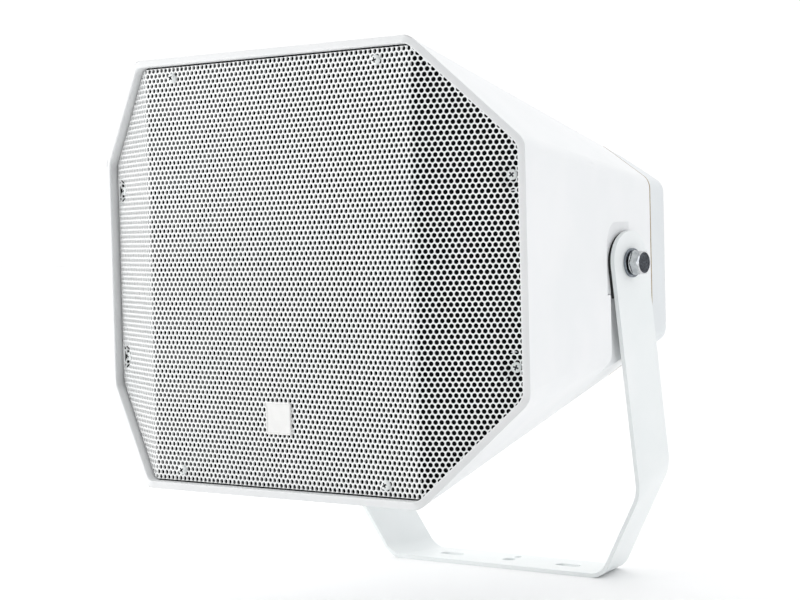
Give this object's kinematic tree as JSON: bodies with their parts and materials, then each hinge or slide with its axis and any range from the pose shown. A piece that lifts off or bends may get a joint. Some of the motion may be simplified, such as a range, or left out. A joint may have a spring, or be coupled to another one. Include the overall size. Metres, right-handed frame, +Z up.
{
  "type": "horn speaker",
  "caption": "Eight-sided horn speaker with a folded perforated grille, held at its sides by a folded steel bracket and tilting on pivot bolts.",
  "frame": {"origin": "middle of the underside of the bracket's base, between its two slots", "axes": "+Z up from the base to the speaker, the speaker faces -Y, +X is the viewer's right when facing the grille"},
  "size_m": [0.3822, 0.348, 0.3914],
  "materials": {
    "white_shell": "satin moulded plastic",
    "white_steel": "satin powder coat",
    "black_mesh": "fine black mesh",
    "white_enamel": "smooth enamelled plate",
    "screw_steel": "bright zinc plate",
    "black_rubber": "matte",
    "tan_rubber": "matte",
    "ferrite": "dull sintered",
    "copper_winding": "enamelled wire",
    "paper": "pressed paper",
    "damper_cloth": "impregnated cloth",
    "grey_plastic": "moulded polyamide",
    "insert_brass": "turned"
  },
  "bodies": {
    "bracket": {"u_bracket": "white_steel"},
    "speaker": {"horn_cabinet": "white_shell", "grille": "white_steel", "dust_screen": "black_mesh", "badge_plate": "white_enamel", "grille_screws": "screw_steel", "cover_screws": "screw_steel", "driver_screws": "screw_steel", "rear_cover": "white_shell", "cover_gasket": "tan_rubber", "driver_gasket": "black_rubber", "driver_frame": "screw_steel", "top_plate": "screw_steel", "magnet": "ferrite", "pole_plate": "screw_steel", "surround": "black_rubber", "spider": "damper_cloth", "transformer_core": "screw_steel", "transformer_coil": "copper_winding", "transformer_straps": "screw_steel", "transformer_screws": "screw_steel", "terminal_block": "grey_plastic", "terminal_screws": "screw_steel", "gland_body": "grey_plastic", "gland_seal": "black_rubber", "gland_nut": "grey_plastic", "gland_locknut": "grey_plastic", "pivot_inserts": "insert_brass", "friction_pads": "black_rubber", "flat_washers": "screw_steel", "spring_washers": "screw_steel", "pivot_bolts": "screw_steel"},
    "moving_cone": {"cone": "paper", "dust_cap": "paper", "voice_coil": "copper_winding"}
  },
  "joints": [
    {"name": "tilt", "type": "hinge", "parent": "bracket", "child": "speaker", "pos_m": [0, -0.03726, 0.2378], "axis": [1, 0, 0], "range_deg": [-110, 18]},
    {"name": "cone_travel", "type": "slide", "parent": "speaker", "child": "moving_cone", "axis": [0, 1, 0], "range_m": [-0.003, 0.003], "stiffness_N_per_m": 2500, "deforming": ["surround", "spider"]}
  ]
}
